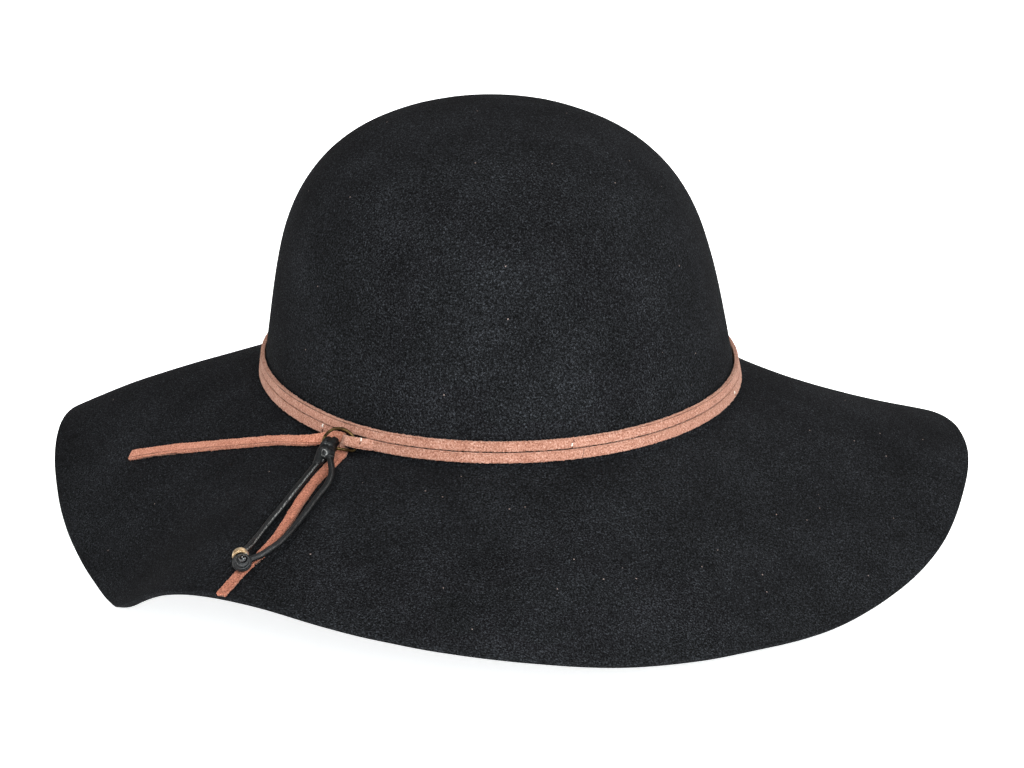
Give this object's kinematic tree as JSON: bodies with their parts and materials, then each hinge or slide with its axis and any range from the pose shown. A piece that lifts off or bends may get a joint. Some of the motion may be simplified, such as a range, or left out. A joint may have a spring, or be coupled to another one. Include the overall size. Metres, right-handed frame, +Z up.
{
  "type": "hat",
  "caption": "Wide-brimmed floppy felt hat with a band of suede laces, a small D-ring and a black knotted cord with a bead.",
  "frame": {"origin": "middle of the box of the hat without its free ends and cord, at the height the brim rests on", "axes": "+Z up through the crown, -Y the front of the hat, +X to the right of someone facing it"},
  "size_m": [0.3414, 0.3528, 0.1613],
  "materials": {
    "felt": "black wool felt, soft matte nap",
    "suede": "salmon suede, rough cut edges",
    "brass": "antique brass, satin",
    "waxed_cord": "black waxed leather cord, slight sheen"
  },
  "bodies": {
    "root": {"felt_body": "felt", "band_upper_lace": "suede", "band_lower_lace": "suede", "lace_tail_left": "suede", "lace_tail_down": "suede", "d_ring": "brass", "cord_hitch": "waxed_cord", "cord_left": "waxed_cord", "cord_right": "waxed_cord", "bead": "brass", "end_knot": "waxed_cord"}
  },
  "joints": []
}
